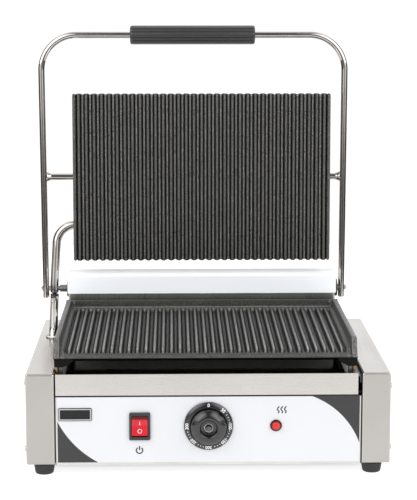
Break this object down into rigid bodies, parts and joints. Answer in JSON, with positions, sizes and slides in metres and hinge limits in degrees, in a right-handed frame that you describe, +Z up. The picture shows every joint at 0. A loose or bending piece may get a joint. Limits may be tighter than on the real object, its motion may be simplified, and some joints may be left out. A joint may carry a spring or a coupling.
{
  "type": "contact grill",
  "caption": "Countertop contact grill, open: ribbed lower casting with a rim, ribbed lid floating in a bent rod handle, rocker switch, thermostat dial and drip tray.",
  "frame": {"origin": "middle of the bounding box's underside, on the plane the feet stand on, with the lid open", "axes": "+X to the right seen from the front, +Y to the back, +Z up"},
  "size_m": [0.4144, 0.3298, 0.4954],
  "materials": {
    "side_housing": "brushed",
    "white_panel": "gloss white printed panel",
    "base_sheet": "mill",
    "tray_sheet": "brushed",
    "hinge_sheet": "mill",
    "cover_film": "satin, with its protective film",
    "lid_sheet": "brushed",
    "casting": "enamelled",
    "chrome_rod": "polished",
    "chrome_tube": "polished",
    "badge": "satin, bare",
    "screw_steel": "plated",
    "spring_steel": "drawn wire",
    "brass": "turned",
    "grip_plastic": "matt",
    "dial_plastic": "satin",
    "black_plastic": "satin",
    "red_rocker": "gloss",
    "red_lens": "clear red",
    "foot_rubber": "matt",
    "heater_tube": "oxidised",
    "shield_sheet": "matt black",
    "terminal_plastic": "matt",
    "mineral_wool": "felted"
  },
  "bodies": {
    "base": {"left_side_housing": "side_housing", "right_side_housing": "side_housing", "front_panel": "white_panel", "floor_panel": "base_sheet", "rear_panel": "base_sheet", "tray_runner_left": "base_sheet", "tray_runner_right": "base_sheet", "plate_rail_left": "base_sheet", "plate_rail_right": "base_sheet", "hinge_bracket": "hinge_sheet", "hinge_cover": "cover_film", "lower_plate": "casting", "lower_conduit": "chrome_tube", "conduit_flange": "chrome_tube", "badge_plate": "badge", "side_screw_left": "screw_steel", "side_screw_right": "screw_steel", "hinge_spring_left": "spring_steel", "hinge_spring_right": "spring_steel", "plate_stud_front_left": "brass", "plate_stud_front_right": "brass", "plate_stud_rear_left": "brass", "plate_stud_rear_right": "brass", "shaft_bush_left": "brass", "shaft_bush_right": "brass", "switch_body": "black_plastic", "lamp_body": "black_plastic", "cable_gland": "black_plastic", "conduit_seal": "black_plastic", "lamp_lens": "red_lens", "foot_front_left": "foot_rubber", "foot_front_right": "foot_rubber", "foot_rear_left": "foot_rubber", "foot_rear_right": "foot_rubber", "lower_element": "heater_tube", "heat_shield": "shield_sheet", "thermostat": "shield_sheet", "terminal_block": "terminal_plastic"},
    "lid_frame": {"handle_frame": "chrome_rod", "handle_grip": "grip_plastic", "hinge_shaft": "screw_steel", "spring_collar_left": "screw_steel", "spring_collar_right": "screw_steel", "rod_screw_left": "screw_steel", "rod_screw_right": "screw_steel", "pivot_pin_left": "chrome_rod", "pivot_pin_right": "chrome_rod", "upper_conduit": "chrome_tube", "conduit_ball": "black_plastic"},
    "lid": {"upper_plate": "casting", "upper_housing": "lid_sheet", "lid_bracket_left": "hinge_sheet", "lid_bracket_right": "hinge_sheet", "upper_element": "heater_tube", "insulation_pad": "mineral_wool"},
    "dial": {"thermostat_knob": "dial_plastic", "thermostat_shaft": "screw_steel"},
    "drip_tray": {"drip_tray": "tray_sheet"},
    "rocker": {"switch_rocker": "red_rocker"}
  },
  "joints": [
    {"name": "lid_frame_hinge", "type": "hinge", "parent": "base", "child": "lid_frame", "pos_m": [0, 0.1236, 0.1644], "axis": [1, 0, 0], "range_deg": [-3, 90]},
    {"name": "lid_float", "type": "hinge", "parent": "lid_frame", "child": "lid", "pos_m": [0, 0.12856, 0.30631], "axis": [1, 0, 0], "range_deg": [0, 4.5]},
    {"name": "drip_tray_slide", "type": "slide", "parent": "base", "child": "drip_tray", "axis": [0, -1, 0], "range_m": [0, 0.06]},
    {"name": "dial_turn", "type": "hinge", "parent": "base", "child": "dial", "pos_m": [0, -0.1499, 0.0574], "axis": [0, 1, 0], "range_deg": [0, 270]},
    {"name": "rocker_tilt", "type": "hinge", "parent": "base", "child": "rocker", "pos_m": [-0.0772, -0.1463, 0.0574], "axis": [1, 0, 0], "range_deg": [0, 16]}
  ]
}
